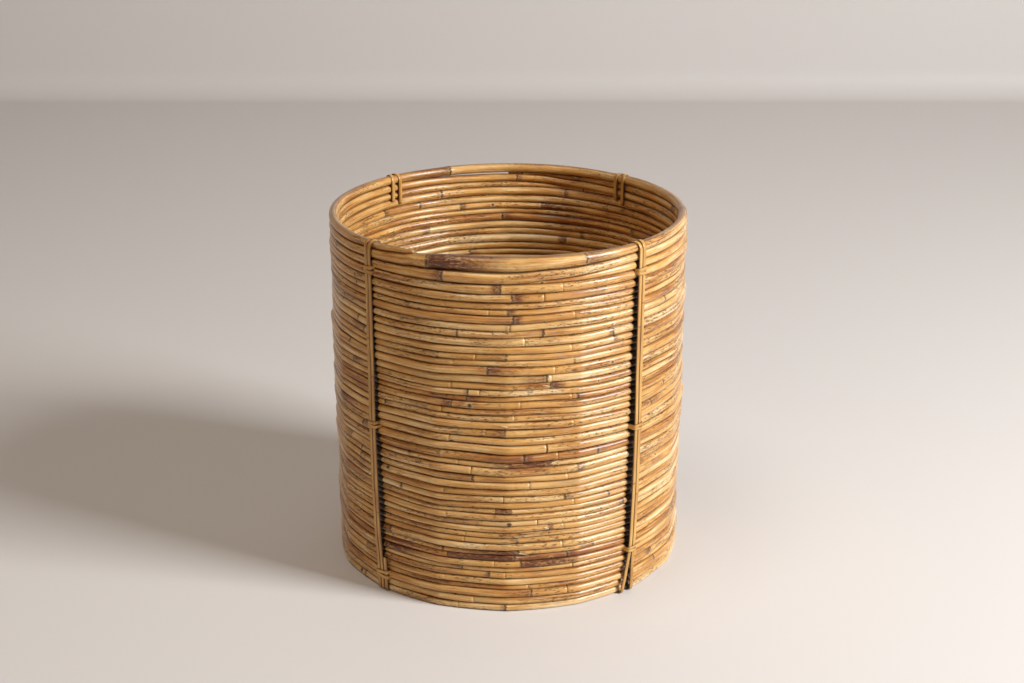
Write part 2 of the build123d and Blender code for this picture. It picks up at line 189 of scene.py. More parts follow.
def sag(travel, z):
    """How far a course lies above or below its level, in mm; nothing at the floor and the rim."""
    a = np.radians(travel)
    height = np.clip(np.asarray(z) / HEIGHT, 0, 1)
    keep = np.sin(math.pi * height) ** 0.7
    wave = 0.5 * np.sin(3 * a + 0.04 * z) + 0.35 * np.sin(7 * a - 0.06 * z + 1.0)
    wave += 0.3 * np.sin(11 * a + 0.11 * z + 2.2)
    return keep * wave


def gentle(rng, along, shortest, longest, waves=5):
    """Smooth random curve along a rod, about -1 to 1."""
    total = np.zeros_like(along)
    for _ in range(waves):
        length = rng.uniform(shortest, longest)
        total += rng.uniform(0.4, 1.0) * np.sin(2 * math.pi * along / length + rng.uniform(0, 6.3))
    return total / (0.75 * waves**0.5 * 1.4)


# ------------------------------------------------------------------ meshes
def mesh_object(name, vertices, faces, values=None, material=None):
    """Smooth mesh in metres from millimetre vertices; values become point attributes."""
    mesh = bpy.data.meshes.new(name)
    vertices = np.asarray(vertices, float) * MM
    mesh.vertices.add(len(vertices))
    mesh.vertices.foreach_set("co", vertices.ravel())
    sizes = np.array([len(f) for f in faces])
    mesh.loops.add(int(sizes.sum()))
    mesh.loops.foreach_set("vertex_index", np.concatenate([np.asarray(f) for f in faces]))
    mesh.polygons.add(len(faces))
    mesh.polygons.foreach_set("loop_start", np.concatenate([[0], np.cumsum(sizes)[:-1]]))
    mesh.polygons.foreach_set("use_smooth", np.ones(len(faces), bool))
    mesh.update()
    mesh.validate()
    for key, data in (values or {}).items():
        data = np.asarray(data, float)
        kind = "FLOAT_VECTOR" if data.ndim == 2 else "FLOAT"
        attribute = mesh.attributes.new(key, kind, "POINT")
        attribute.data.foreach_set("vector" if data.ndim == 2 else "value", data.ravel())
    piece = bpy.data.objects.new(name, mesh)
    bpy.context.scene.collection.objects.link(piece)
    if material:
        mesh.materials.append(material)
    return piece


def directions(points):
    """Unit direction of a line at each of its points."""
    ahead = np.gradient(points, axis=0)
    return ahead / np.linalg.norm(ahead, axis=1, keepdims=True)


def tube(centres, outward, radii, values, seed_offset, sides=ROD_SIDES):
    """Vertices, faces and attributes of a round rod with slightly domed cut ends."""
    tangent = directions(centres)
    side = outward - tangent * np.sum(outward * tangent, axis=1, keepdims=True)
    side /= np.linalg.norm(side, axis=1, keepdims=True)
    up = np.cross(tangent, side)
    first, last = radii[0], radii[-1]
    rows, row_radii, index = [], [], []
    for share, back in END_DOME:
        rows.append(centres[0] - tangent[0] * (END_DEPTH - back) * first)
        row_radii.append(share * first)
        index.append(0)
    rows += list(centres)
    row_radii += list(radii)
    index += list(range(len(centres)))
    for share, back in reversed(END_DOME):
        rows.append(centres[-1] + tangent[-1] * (END_DEPTH - back) * last)
        row_radii.append(share * last)
        index.append(len(centres) - 1)
    rows, row_radii, index = np.array(rows), np.array(row_radii), np.array(index)
    a = np.arange(sides) * 2 * math.pi / sides
    ring = side[index][:, None, :] * np.cos(a)[None, :, None]
    ring = ring + up[index][:, None, :] * np.sin(a)[None, :, None]
    vertices = (rows[:, None, :] + ring * row_radii[:, None, None]).reshape(-1, 3)
    count = len(rows)
    i = np.arange(count - 1)[:, None] * sides
    j = np.arange(sides)[None, :]
    k = (j + 1) % sides
    quads = np.stack([i + j, i + k, i + sides + k, i + sides + j], axis=-1).reshape(-1, 4)
    faces = [list(q) for q in quads]
    faces.append(list(range(sides - 1, -1, -1)))
    faces.append([(count - 1) * sides + n for n in range(sides)])
    spread = {key: np.repeat(np.asarray(data)[index], sides) for key, data in values.items()}
    along = np.repeat(values["along"][index] + seed_offset, sides)
    across = np.tile(np.stack([np.cos(a), np.sin(a)], 1), (count, 1)) * row_radii.repeat(sides)[:, None]
    spread["rod"] = np.column_stack([along, across])
    spread["lift"] = np.tile(np.sin(a), count)
    # the painted shade under the bindings lies mostly on the outer side of each rod
    spread["painted_strip_shade"] = spread["painted_strip_shade"] * np.tile(np.clip(np.cos(a) + 0.3, 0, 1), count)
    spread["knot"] = knots_near(seed_offset, values["along"][index], row_radii, a)
    cut = np.zeros(count)
    cut[:1] = 1
    cut[-1:] = 1
    spread["cut"] = np.repeat(cut, sides)
    return vertices, faces, spread


def knots_near(seed, along, radii, angles):
    """For each vertex, the way in mm to the nearest branch scar: (along, round, 0)."""
    rng = np.random.default_rng(int(seed) + 5)
    place = rng.uniform(0, KNOT_SPACING)
    to_knot = np.full((len(along), len(angles), 3), 99.0)
    to_knot[:, :, 2] = 0.0
    while place < along[-1]:
        at = rng.uniform(0, 2 * math.pi)
        size = rng.uniform(*KNOT_SIZE)
        ahead = (along - place)[:, None] / size + 0 * angles[None, :]
        turned = (angles - at + math.pi) % (2 * math.pi) - math.pi
        round_it = turned[None, :] * radii[:, None] / size
        nearer = np.abs(ahead) < np.abs(to_knot[:, :, 0])
        to_knot[:, :, 0] = np.where(nearer, ahead, to_knot[:, :, 0])
        to_knot[:, :, 1] = np.where(nearer, round_it, to_knot[:, :, 1])
        place += rng.uniform(0.4, 1.6) * KNOT_SPACING
    return to_knot.reshape(-1, 3)


def join(parts):
    """Several (vertices, faces, values) as one."""
    vertices, faces, base = [], [], 0
    values = {key: [] for key in parts[0][2]}
    for v, f, s in parts:
        vertices.append(v)
        faces += [[n + base for n in face] for face in f]
        for key in values:
            values[key].append(s[key])
        base += len(v)
    return np.vstack(vertices), faces, {key: np.concatenate(data) for key, data in values.items()}


# ------------------------------------------------------------------ rods
def grown(rng, along, tone, marks=(), closed=False):
    """What growth leaves along a rod: nodes, their swelling and stains, and its tone. marks are (place, stain
    length, stain strength, side, new tone) in mm, given one by one."""
    length = along[-1]
    nodes = []
    place = rng.uniform(0.1, 1.0) * INTERNODE[0]
    while place < length:
        nodes.append((place, rng.uniform(2, 26), rng.uniform(0.0, 0.9) ** 1.6, rng.choice([-1, 1]), None))
        place += rng.uniform(*INTERNODE)
    nodes = [n for n in nodes if all(abs(n[0] - m[0]) > MARK_CLEARANCE for m in marks)] + list(marks)
    nodes.sort(key=lambda n: n[0])
    distance = np.full_like(along, FAR)
    swell = np.zeros_like(along)
    stain = np.zeros_like(along)
    shade = np.full_like(along, tone)
    for place, reach, strength, side, new_tone in nodes:
        off = along - place
        nearer = np.abs(off) < np.abs(distance)
        distance[nearer] = off[nearer]
        swell += np.exp(-((off / NODE_WIDTH) ** 2)) * rng.uniform(0.5, 1.3)
        inside = (off * side > 0) & (off * side < reach)
        fade = np.where(inside, strength * (1 - (np.abs(off) / reach) ** 2), 0)
        stain = np.maximum(stain, fade)
        jump = rng.normal(0, 0.035) if new_tone is None else new_tone - shade[np.argmin(np.abs(off))]
        shade = np.where(off > 0, np.clip(shade + jump, 0.02, 0.98), shade)
    if closed:
        shade += (shade[0] - shade[-1]) * ease((along / length - 0.6) / 0.4)
    return distance, swell, stain, shade


def wall_rod(seed, start, end, centre_radius, centre_z, thickness, tone, marks=(), still=0.0):
    """Rod laid round the wall. centre_radius, centre_z and thickness are functions of travel, in mm."""
    rng = np.random.default_rng(seed)
    count = int(math.ceil((end - start) / ROD_STEP)) + 1
    travel = np.linspace(start, end, count)
    a = np.radians(travel)
    along = (travel - start) * math.radians(1) * WALL_RADIUS_TOP
    distance, swell, stain, shade = grown(rng, along, tone, marks, closed=360 - (end - start) < 2)
    diameter = thickness(travel)
    free = np.clip(diameter / 6.0, 0.2, 1.0)
    diameter = (diameter + ROD_PLUMP) * (1 + 0.04 * gentle(rng, along, 50, 260) + NODE_SWELL * swell)
    base_z = centre_z(travel)
    z = base_z + sag(travel, base_z) * (1 - still) + 0.13 * free * gentle(rng, along, 40, 160)
    radius = centre_radius(travel) + bulge(travel, base_z) + 0.3 * free * gentle(rng, along, 50, 200)
    centres = np.column_stack([-radius * np.sin(a), -radius * np.cos(a), z])
    outward = np.column_stack([-np.sin(a), -np.cos(a), np.zeros(count)])
    to_end = np.minimum(along, along[-1] - along)
    values = rod_values(along, distance, stain, shade)
    # painted shade beside and under the binding strips
    values["painted_strip_shade"] = strip_shadow(travel, z)
    values["calm"] = 1 - ease(to_end / 35.0)
    return tube(centres, outward, diameter / 2, values, ROD_PATTERN_SHIFT * seed)


def rod_values(along, distance, stain, shade):
    """Attributes along a rod; calm is 1 where its pattern fades out, and the last holds the painted shade
    beside and under the bindings.
    """
    none = np.zeros_like(along)
    return {"along": along, "node": distance, "stain": stain, "tone": shade, "painted_strip_shade": none, "calm": none}


def strip_shadow(travel, z):
    """1 beside and under the binding strips, where shade is painted onto the rods, 0 elsewhere."""
    painted_strip_shade = np.zeros(len(travel))
    for station, (rim_angle, foot_angle, _, _) in STATIONS.items():
        at = -(foot_angle + (rim_angle - foot_angle) * z / HEIGHT)
        off = np.radians((travel - at + 180) % 360 - 180) * WALL_RADIUS_TOP
        reach = STRIP_SPACING + STRIP_WIDTH / 2 + PAINTED_SHADE_REACH[station] + 0.25 * follow(STRIP_HOLD_OFF, z)
        painted_strip_shade = np.maximum(painted_strip_shade, 1 - ease((np.abs(off) - reach + 1.0) / 2.0))
    return painted_strip_shade * (z < HOOPS_TOP + 8)


def splinter(travel, radius, z, length, rise, drop):
    """Pale sliver that stands off the outside of a wall rod."""
    share = np.linspace(0, 1, 10)
    turn = np.radians(travel) + share * length / radius
    out = radius + float(bulge(travel, z)) + rise * share**2 - 0.2
    centres = np.column_stack([-out * np.sin(turn), -out * np.cos(turn), z + drop * share])
    outward = np.column_stack([-np.sin(turn), -np.cos(turn), np.zeros_like(turn)])
    along = share * abs(length)
    far = np.full_like(along, FAR)
    values = rod_values(along, far, 0 * along, 0 * along + 0.05)
    return tube(centres, outward, 0.75 - 0.6 * share, values, SPLINTER_PATTERN + 50 * travel)


def straight_rod(seed, start, end, outward, diameter, tone):
    """Rod between two points."""
    rng = np.random.default_rng(seed)
    start, end = np.array(start, float), np.array(end, float)
    length = np.linalg.norm(end - start)
    count = max(8, int(length / STRAIGHT_ROD_STEP))
    share = np.linspace(0, 1, count)
    along = share * length
    distance, swell, stain, shade = grown(rng, along, tone)
    centres = start + (end - start) * share[:, None]
    centres += np.outer(0.2 * gentle(rng, along, 60, 200), outward)
    radii = diameter / 2 * (1 + 0.02 * gentle(rng, along, 50, 200) + NODE_SWELL * swell)
    values = rod_values(along, distance, stain, shade)
    sideways = np.tile(np.array(outward, float), (count, 1))
    return tube(centres, sideways, radii, values, ROD_PATTERN_SHIFT * seed, STRAIGHT_ROD_SIDES)


def rim_thickness(travel):
    """The end tapers to fill the room under the first turns of both rods."""
    last_knot, full = RIM_THICKNESS[-1]
    if travel <= last_knot:
        return float(follow(RIM_THICKNESS, travel))
    above = rim_thickness(travel - 360) + wedge_thickness(travel - 360)
    return min(full, TOP_ZONE - 3 * ROD_GAP - above)


def wedge_thickness(travel):
    """The second turn fills the room that the rim rod leaves above the plain hoops."""
    if travel <= 360:
        return float(follow(WEDGE_THICKNESS, travel))
    above = tail_cover(travel) + opening(travel) + rim_thickness(travel)
    return TOP_ZONE - 2 * ROD_GAP - above


def tail_cover(travel):
    """Depth by which the rim rod's tail presses down its own second turn."""
    behind = travel - 360
    if behind >= RIM_TAIL:
        return rim_thickness(behind) + ROD_GAP
    return (rim_thickness(RIM_TAIL) + ROD_GAP) * float(ease(1 + (behind - RIM_TAIL) / TAIL_DIP))


def opening(travel):
    """Height between the two turns of the rim rod: the slit, then the start of the wedge rod."""
    if travel <= SLIT[-1][0]:
        return float(follow(SLIT, max(travel, SLIT[0][0])))
    return wedge_thickness(travel - 360) + ROD_GAP


def wedge_support(travel):
    """Height of the wedge rod that lies under the rim rod's second turn."""
    if travel <= WEDGE_END:
        return wedge_thickness(travel) + ROD_GAP
    return wedge_support(WEDGE_END) * (1 - float(ease((travel - WEDGE_END) / WEDGE_STEP)))


def rim_height(travel):
    """Height of the rim rod's centre line."""
    half = rim_thickness(travel) / 2
    if travel <= 360:
        return HEIGHT - half
    return HOOPS_TOP + ROD_GAP + wedge_support(travel) + half


def wedge_height(travel):
    """Height of the wedge rod's centre line."""
    half = wedge_thickness(travel) / 2
    if travel <= 360:
        return HEIGHT - rim_thickness(travel) - ROD_GAP - half
    return HOOPS_TOP + ROD_GAP + half


def each(function):
    """The same function for an array of travels."""
    return lambda travel: np.array([function(t) for t in travel])


def travel_mm(travel, start):
    """Place along a wall rod of a given travel."""
    return math.radians(travel - start) * WALL_RADIUS_TOP


# ------------------------------------------------------------------ materials
def nodes_of(name):
    """A new material, its node tree and its Principled shader."""
    material = bpy.data.materials.new(name)
    material.use_nodes = True
    tree = material.node_tree
    shader = tree.nodes["Principled BSDF"]
    return material, tree, shader


def link(tree, source, target):
    tree.links.new(source, target)


def math_node(tree, operation, a, b=None):
    node = tree.nodes.new("ShaderNodeMath")
    node.operation = operation
    for socket, value in zip(node.inputs, (a, b)):
        if value is None:
            continue
        if isinstance(value, (int, float)):
            socket.default_value = value
        else:
            link(tree, value, socket)
    return node.outputs[0]


def attribute(tree, name, output="Fac"):
    node = tree.nodes.new("ShaderNodeAttribute")
    node.attribute_name = name
    return node.outputs[output]


def stretched_noise(tree, vector, scale, detail=3.0, roughness=0.55):
    """Noise drawn out along the rod: scale is cycles per mm (along, across)."""
    mapping = tree.nodes.new("ShaderNodeMapping")
    mapping.inputs["Scale"].default_value = (scale[0], scale[1], scale[1])
    link(tree, vector, mapping.inputs["Vector"])
    noise = tree.nodes.new("ShaderNodeTexNoise")
    noise.inputs["Scale"].default_value = 1.0
    noise.inputs["Detail"].default_value = detail
    noise.inputs["Roughness"].default_value = roughness
    link(tree, mapping.outputs[0], noise.inputs["Vector"])
    return noise.outputs["Fac"]


def ramp(tree, value, stops):
    node = tree.nodes.new("ShaderNodeValToRGB")
    elements = node.color_ramp.elements
    while len(elements) < len(stops):
        elements.new(0.5)
    for element, (place, colour) in zip(elements, stops):
        element.position = place
        element.color = (*colour, 1.0)
    link(tree, value, node.inputs[0])
    return node.outputs[0]


def step_up(tree, value, low, high):
    """0 below low, 1 above high."""
    node = tree.nodes.new("ShaderNodeMapRange")
    node.inputs["From Min"].default_value = low
    node.inputs["From Max"].default_value = high
    node.clamp = True
    link(tree, value, node.inputs["Value"])
    return node.outputs["Result"]


def mix_colour(tree, share, a, b):
    node = tree.nodes.new("ShaderNodeMix")
    node.data_type = "RGBA"
    for socket, value in ((node.inputs[0], share), (node.inputs[6], a), (node.inputs[7], b)):
        if isinstance(value, (int, float)):
            socket.default_value = value
        elif isinstance(value, tuple):
            socket.default_value = (*value, 1.0)
        else:
            link(tree, value, socket)
    return node.outputs[2]


def arithmetic(tree):
    """Short forms of the arithmetic that the materials share: times, plus, swing and under."""
    def times(a, b):
        return math_node(tree, "MULTIPLY", a, b)

    def plus(a, b):
        return math_node(tree, "ADD", a, b)

    def swing(value, amount):
        return times(math_node(tree, "SUBTRACT", value, 0.5), amount)

    def under(value, low, high):
        return math_node(tree, "SUBTRACT", 1.0, step_up(tree, value, low, high))

    return times, plus, swing, under


def varnish(shader, coat, coat_roughness):
    shader.inputs["Coat Weight"].default_value = coat
    shader.inputs["Coat Roughness"].default_value = coat_roughness
    shader.inputs["Specular IOR Level"].default_value = 0.15


def bump(tree, shader, height, strength, depth):
    """Relief of the given depth in mm."""
    node = tree.nodes.new("ShaderNodeBump")
    node.inputs["Strength"].default_value = strength
    node.inputs["Distance"].default_value = depth * MM
    link(tree, height, node.inputs["Height"])
    link(tree, node.outputs[0], shader.inputs["Normal"])


def rattan_material():
    """Varnished rattan: tone per rod, drawn-out fibres, stained nodes, flecks and worn patches."""
    material, tree, shader = nodes_of("rattan")
    times, plus, swing, under = arithmetic(tree)
    rod = attribute(tree, "rod", "Vector")
    fibres = stretched_noise(tree, rod, (0.03, 1.7), 4.0, 0.65)
    streaks = stretched_noise(tree, rod, (0.012, 0.55), 3.0)
    blotches = stretched_noise(tree, rod, (0.030, 0.16), 3.0)
    grains = stretched_noise(tree, rod, (0.26, 0.75), 4.0, 0.7)
    patches = stretched_noise(tree, rod, (0.011, 0.07), 2.0)
    wild = math_node(tree, "SUBTRACT", 1.0, attribute(tree, "calm"))
    drift = plus(swing(blotches, 1.0), plus(swing(streaks, 1.0), swing(fibres, 0.9)))
    shade = plus(attribute(tree, "tone"), times(drift, wild))
    colour = ramp(tree, shade, [
        (0.0, (0.88, 0.68, 0.41)), (0.22, (0.78, 0.515, 0.220)), (0.45, (0.66, 0.347, 0.092)),
        (0.65, (0.46, 0.180, 0.032)), (0.85, (0.23, 0.064, 0.013)), (1.0, (0.10, 0.026, 0.008)),
    ])
    # reddish stains and a few greenish ones
    red = times(step_up(tree, patches, 0.52, 0.60), step_up(tree, streaks, 0.44, 0.58))
    colour = mix_colour(tree, times(times(red, wild), 0.5), colour, (0.25, 0.062, 0.020))
    green = times(under(patches, 0.33, 0.40), step_up(tree, blotches, 0.50, 0.62))
    colour = mix_colour(tree, times(green, 0.45), colour, (0.33, 0.30, 0.16))
    # dark flecks, in patches
    fleck = times(step_up(tree, grains, 0.55, 0.61), step_up(tree, patches, 0.45, 0.56))
    colour = mix_colour(tree, times(fleck, 0.8), colour, (0.09, 0.028, 0.010))
    # worn pale fibres
    worn = times(step_up(tree, fibres, 0.56, 0.64), step_up(tree, blotches, 0.48, 0.60))
    colour = mix_colour(tree, times(worn, 0.55), colour, (0.83, 0.64, 0.38))
    # dull brown smudges
    smudges = stretched_noise(tree, rod, (0.055, 0.33), 4.0, 0.7)
    smudge = times(step_up(tree, smudges, 0.54, 0.66), wild)
    colour = mix_colour(tree, times(smudge, 0.42), colour, (0.38, 0.160, 0.046))
    # stain beside the nodes, broken up by the grain
    stain = times(attribute(tree, "stain"), plus(step_up(tree, grains, 0.34, 0.54), 0.25))
    colour = mix_colour(tree, stain, colour, (0.13, 0.034, 0.014))
    # the ring scar of a node: a broken dark line with a pale lip
    away = math_node(tree, "ABSOLUTE", plus(attribute(tree, "node"), swing(grains, 7.0)))
    ring = times(under(away, 0.3, 1.2), step_up(tree, blotches, 0.36, 0.52))
    lip = times(under(away, 1.2, 3.0), step_up(tree, fibres, 0.38, 0.56))
    colour = mix_colour(tree, times(lip, 0.32), colour, (0.74, 0.52, 0.25))
    colour = mix_colour(tree, times(ring, 0.9), colour, (0.06, 0.02, 0.008))
    # branch scars: a dark eye with a pale rim
    length = tree.nodes.new("ShaderNodeVectorMath")
    length.operation = "LENGTH"
    link(tree, attribute(tree, "knot", "Vector"), length.inputs[0])
    scar = plus(length.outputs["Value"], swing(grains, 2.2))
    eye = under(scar, 0.7, 1.3)
    halo = times(under(scar, 1.6, 3.2), 0.5)
    colour = mix_colour(tree, halo, colour, (0.66, 0.46, 0.22))
    colour = mix_colour(tree, times(eye, 0.9), colour, (0.07, 0.024, 0.010))
    # end grain
    pores = stretched_noise(tree, rod, (0.5, 1.6), 2.0)
    end_grain = ramp(tree, pores, [(0.35, (0.16, 0.08, 0.035)), (0.6, (0.62, 0.44, 0.24))])
    colour = mix_colour(tree, attribute(tree, "cut"), colour, end_grain)
    # painted shade in the grooves between the courses, and beside and under the bindings
    # painted shade: the tops and undersides of the rods, where the courses meet, are darkened
    edge = plus(math_node(tree, "ABSOLUTE", attribute(tree, "lift")), swing(streaks, 0.25))
    colour = mix_colour(tree, times(step_up(tree, edge, 0.66, 1.04), 0.80), colour, (0.120, 0.038, 0.010))
    # painted shade: near-black beside and under the binding strips, where they shade the rods
    painted_strip_shade = step_up(tree, plus(attribute(tree, "painted_strip_shade"), swing(edge, 0.5)), 0.35, 0.6)
    colour = mix_colour(tree, times(painted_strip_shade, 0.93), colour, (0.014, 0.006, 0.003))
    link(tree, colour, shader.inputs["Base Color"])
    rough = plus(times(fibres, 0.4), 0.16)
    rough = plus(rough, times(plus(worn, painted_strip_shade), 0.25))
    link(tree, rough, shader.inputs["Roughness"])
    varnish(shader, 0.9, 0.3)
    height = plus(plus(times(fibres, 0.6), times(streaks, 0.8)), times(smudges, 0.7))
    height = math_node(tree, "SUBTRACT", height, times(plus(ring, eye), 1.2))
    height = math_node(tree, "SUBTRACT", height, times(fleck, 0.5))
    bump(tree, shader, height, 0.8, 1.1)
    return material


def cane_material():
    """Split cane: pale glossy skin with fine long fibres, and painted shade along its edges."""
    material, tree, shader = nodes_of("cane")
    times, plus, _, under = arithmetic(tree)
    rod = attribute(tree, "rod", "Vector")
    fibres = stretched_noise(tree, rod, (0.02, 2.2), 4.0, 0.65)
    blotches = stretched_noise(tree, rod, (0.03, 0.2), 3.0)
    shade = plus(times(fibres, 0.6), times(blotches, 0.5))
    colour = ramp(tree, shade, [
        (0.30, (0.76, 0.51, 0.20)), (0.5, (0.60, 0.34, 0.09)),
        (0.65, (0.38, 0.165, 0.035)), (0.8, (0.17, 0.06, 0.014)),
    ])
    ring = under(math_node(tree, "ABSOLUTE", attribute(tree, "node")), 0.3, 0.9)
    colour = mix_colour(tree, times(ring, 0.6), colour, (0.12, 0.05, 0.02))
    # painted shade: darker along the long edges of each strip and wrap
    edge = times(step_up(tree, attribute(tree, "edge"), 0.62, 1.0), 0.8)
    colour = mix_colour(tree, edge, colour, (0.10, 0.035, 0.010))
    link(tree, colour, shader.inputs["Base Color"])
    link(tree, plus(times(fibres, 0.2), 0.25), shader.inputs["Roughness"])
    varnish(shader, 0.7, 0.25)
    bump(tree, shader, fibres, 0.5, 0.25)
    return material


def brad_material():
    """Dull dark iron."""
    material, tree, shader = nodes_of("brad")
    times, plus, _, _ = arithmetic(tree)
    shader.inputs["Base Color"].default_value = (0.16, 0.11, 0.08, 1)
    shader.inputs["Metallic"].default_value = 0.9
    geometry = tree.nodes.new("ShaderNodeNewGeometry")
    noise = tree.nodes.new("ShaderNodeTexNoise")
    noise.inputs["Scale"].default_value = 900.0
    link(tree, geometry.outputs["Position"], noise.inputs["Vector"])
    link(tree, plus(times(noise.outputs["Fac"], 0.4), 0.3), shader.inputs["Roughness"])
    return material


def plain_material(name, colour, roughness):
    material, _, shader = nodes_of(name)
    shader.inputs["Base Color"].default_value = (*colour, 1)
    shader.inputs["Roughness"].default_value = roughness
    return material


RATTAN = rattan_material()
CANE = cane_material()
BRAD = brad_material()


def show(piece, node):
    """Let a piece stand in for a CAD node."""
    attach(piece, "root")
    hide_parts(node)
    return piece


def show_rods(node, parts):
    vertices, faces, values = join(parts)
    return show(mesh_object(f"{node}_look", vertices, faces, values, RATTAN), node)


def measure(node):
    """Middle and half size of a CAD piece along x, y and z, in mm."""
    low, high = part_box(node)
    middle = [(b + a) / 2 / MM for a, b in zip(low, high)]
    half = [(b - a) / 2 / MM for a, b in zip(low, high)]
    return middle, half


# ------------------------------------------------------------------ top courses
def make_rim_rod():
    def radius(travel):
        return WALL_RADIUS_TOP - np.maximum(each(rim_thickness)(travel) - FLUSH_ROD, 0) / 2

    marks = [
        (travel_mm(158.3, RIM_TAIL), 60, 0.6, -1, 0.36),
        (travel_mm(270, RIM_TAIL), 12, 0.4, 1, 0.42),
        (travel_mm(336, RIM_TAIL), 34, 0.6, -1, 0.40),
        (travel_mm(385, RIM_TAIL), 66, 1.0, -1, 0.50),
        (travel_mm(543, RIM_TAIL), 6, 0.7, 1, 0.45),
    ]
    rod = wall_rod(3, RIM_TAIL, RIM_END, radius, each(rim_height), each(rim_thickness), RIM_TONE, marks, 1.0)
    show_rods("rim_rod", [rod])


def make_wedge_rod():
    """The rod runs on past the CAD's blunt end as a sliver that closes the step."""
    start = WEDGE_THICKNESS[0][0]
    end = WEDGE_END + WEDGE_STEP * WEDGE_SLIVER

    def thickness(travel):
        if travel <= WEDGE_END:
            plump = WEDGE_PLUMP * float(ease((travel - WEDGE_PLUMP_FROM) / WEDGE_PLUMP_OVER))
            return wedge_thickness(travel) + plump
        return wedge_support(travel) + WEDGE_PLUMP

    def height(travel):
        if travel <= WEDGE_END:
            return wedge_height(travel)
        return HOOPS_TOP + ROD_GAP + wedge_support(travel) / 2

    def radius(travel):
        return np.full_like(travel, WALL_RADIUS_TOP)

    marks = [
        (travel_mm(205, start), 5, 0.6, 1, 0.42),
        (travel_mm(380, start), 10, 0.7, 1, 0.44),
    ]
    rod = wall_rod(4, start, end, radius, each(height), each(thickness), WEDGE_TONE, marks, 1.0)
    show_rods("wedge_rod", [rod])


# ------------------------------------------------------------------ plain hoops
def level(value):
    """The same value at every travel."""
    return lambda travel: np.full_like(travel, value)


def hoop_marks(number, start):
    """Known nodes of a hoop, with their travel turned into mm from its joint."""
    marks = []
    for travel, *rest in MARKS.get(number, []):
        marks.append((travel_mm(start + (travel - start) % FULL_TURN, start), *rest))
    return marks


def make_hoops():
    tones = np.random.default_rng(12)
    for i in range(HOOP_COUNT):
        number = i + 1
        node = f"hoop_{number:02d}"
        middle, half = measure(node)
        z = middle[2]
        radius = half[0] - half[2]
        thickness = 2 * half[2] + ROD_GAP
        tone = float(np.clip(tones.normal(*HOOP_TONE), *HOOP_TONE_LIMITS))
        if number in DARK_HOOPS:
            tone = DARK_TONE
        seam = -BUTT_SPREAD * math.sin(1.7 * i + 0.9)
        gap = OPEN_BUTT_GAP if i % 4 == 1 else BUTT_GAP
        start = seam + gap
        end = seam + FULL_TURN - gap
        marks = hoop_marks(number, start)
        lowest = number == HOOP_COUNT
        still = float(lowest)
        rod = wall_rod(20 + i, start, end, level(radius), level(z), level(thickness), tone, marks, still)
        if lowest:
            vertices = rod[0]
            vertices[:, 2] = np.maximum(vertices[:, 2], FLOOR_GAP)
        rods = [rod]
        for on_hoop, travel, length, rise, drop in SPLINTERS:
            if on_hoop == number:
                rods.append(splinter(travel, radius + half[2], z, length, rise, drop))
        show_rods(node, rods)


# ------------------------------------------------------------------ base
def make_base_hoop():
    """Ring inside the foot, thinner where the bindings pass."""
    middle, half = measure("base_hoop")
    ring = half[0] - half[2]
    rng = np.random.default_rng(90)
    travel = np.linspace(0.2, 359.8, 600)
    turn = np.radians(travel)
    along = turn * ring
    distance, swell, stain, shade = grown(rng, along, BASE_TONE)
    notch = np.zeros_like(travel)
    for _, foot_angle, _, _ in STATIONS.values():
        off = np.abs((travel + foot_angle + 180) % 360 - 180)
        notch = np.maximum(notch, BASE_NOTCH * (1 - ease((off - BASE_NOTCH_REACH) / BASE_NOTCH_END)))
    radius = ring - notch / 2
    centres = np.column_stack([-radius * np.sin(turn), -radius * np.cos(turn), np.full_like(turn, middle[2])])
    outward = np.column_stack([-np.sin(turn), -np.cos(turn), np.zeros_like(turn)])
    values = rod_values(along, distance, stain, shade)
    show_rods("base_hoop", [tube(centres, outward, half[2] - notch / 2, values, BASE_HOOP_PATTERN)])


def make_base_rods():
    """Parallel rods, each as long as fits in the circle that the outermost ones reach."""
    middle, half = measure("base_rods")
    z = middle[2]
    half_width = half[0] - half[2]
    reach = math.hypot(half[1], half[2])
    rods = []
    for k, x in enumerate(np.linspace(-half_width, half_width, BASE_ROD_COUNT)):
        end = math.sqrt(reach**2 - (abs(x) + half[2]) ** 2)
        tone = 0.3 + 0.3 * ((k * 7) % 11) / 11
        rods.append(straight_rod(100 + k, (x, -end, z), (x, end, z), (0, 0, 1), 2 * half[2], tone))
    show_rods("base_rods", rods)


def make_base_bar():
    middle, half = measure("base_bar")
    z = middle[2]
    bar = straight_rod(150, (-half[0], 0, z), (half[0], 0, z), (0, 0, 1), 2 * half[2], BASE_TONE)
    show_rods("base_bar", [bar])


# ------------------------------------------------------------------ bindings
STRIP_WIDTH = 3.7
STRIP_THICK = 1.1
STRIP_SPACING = 1.95
STRIP_SPACING_INSIDE = 4.2
SPLAYED_SPACING = {-1: 7.8, 1: 2.6}     # left and right strip
SPLAY_TOP = 37.0
WALL_HALF_THICKNESS = 4.8
# (height, mm by which the strips stand off the wall)
STRIP_HOLD_OFF = [(0, 0.2), (16, 0.5), (60, 2.4), (100, 3.0), (150, 2.8), (200, 1.6), (282, 0.5), (301, 0.2)]
# cross section of a strip, as shares of its width and thickness: flat inside, rounded outside
STRIP_PROFILE = [
    (-0.5, -0.5), (-0.5, 0.05), (-0.38, 0.36), (-0.17, 0.5),
    (0.17, 0.5), (0.38, 0.36), (0.5, 0.05), (0.5, -0.5),
]
INNER_RUN_ENDS = (278.5, 282.0)
FOOT_STRIP_TOP = 31.0
FOOT_STRIP_OFFSET = 6.3
FOOT_CORNER = 1.2
# rim angle, foot angle (degrees from the front, positive to the right), splayed foot, extra foot strip
STATIONS = {
    "front_left": (-47.0, -44.7, False, True),
    "front_right": (44.3, 42.0, True, False),
    "back_right": (136.0, 136.0, False, False),
    "back_left": (224.6, 224.6, False, False),
}
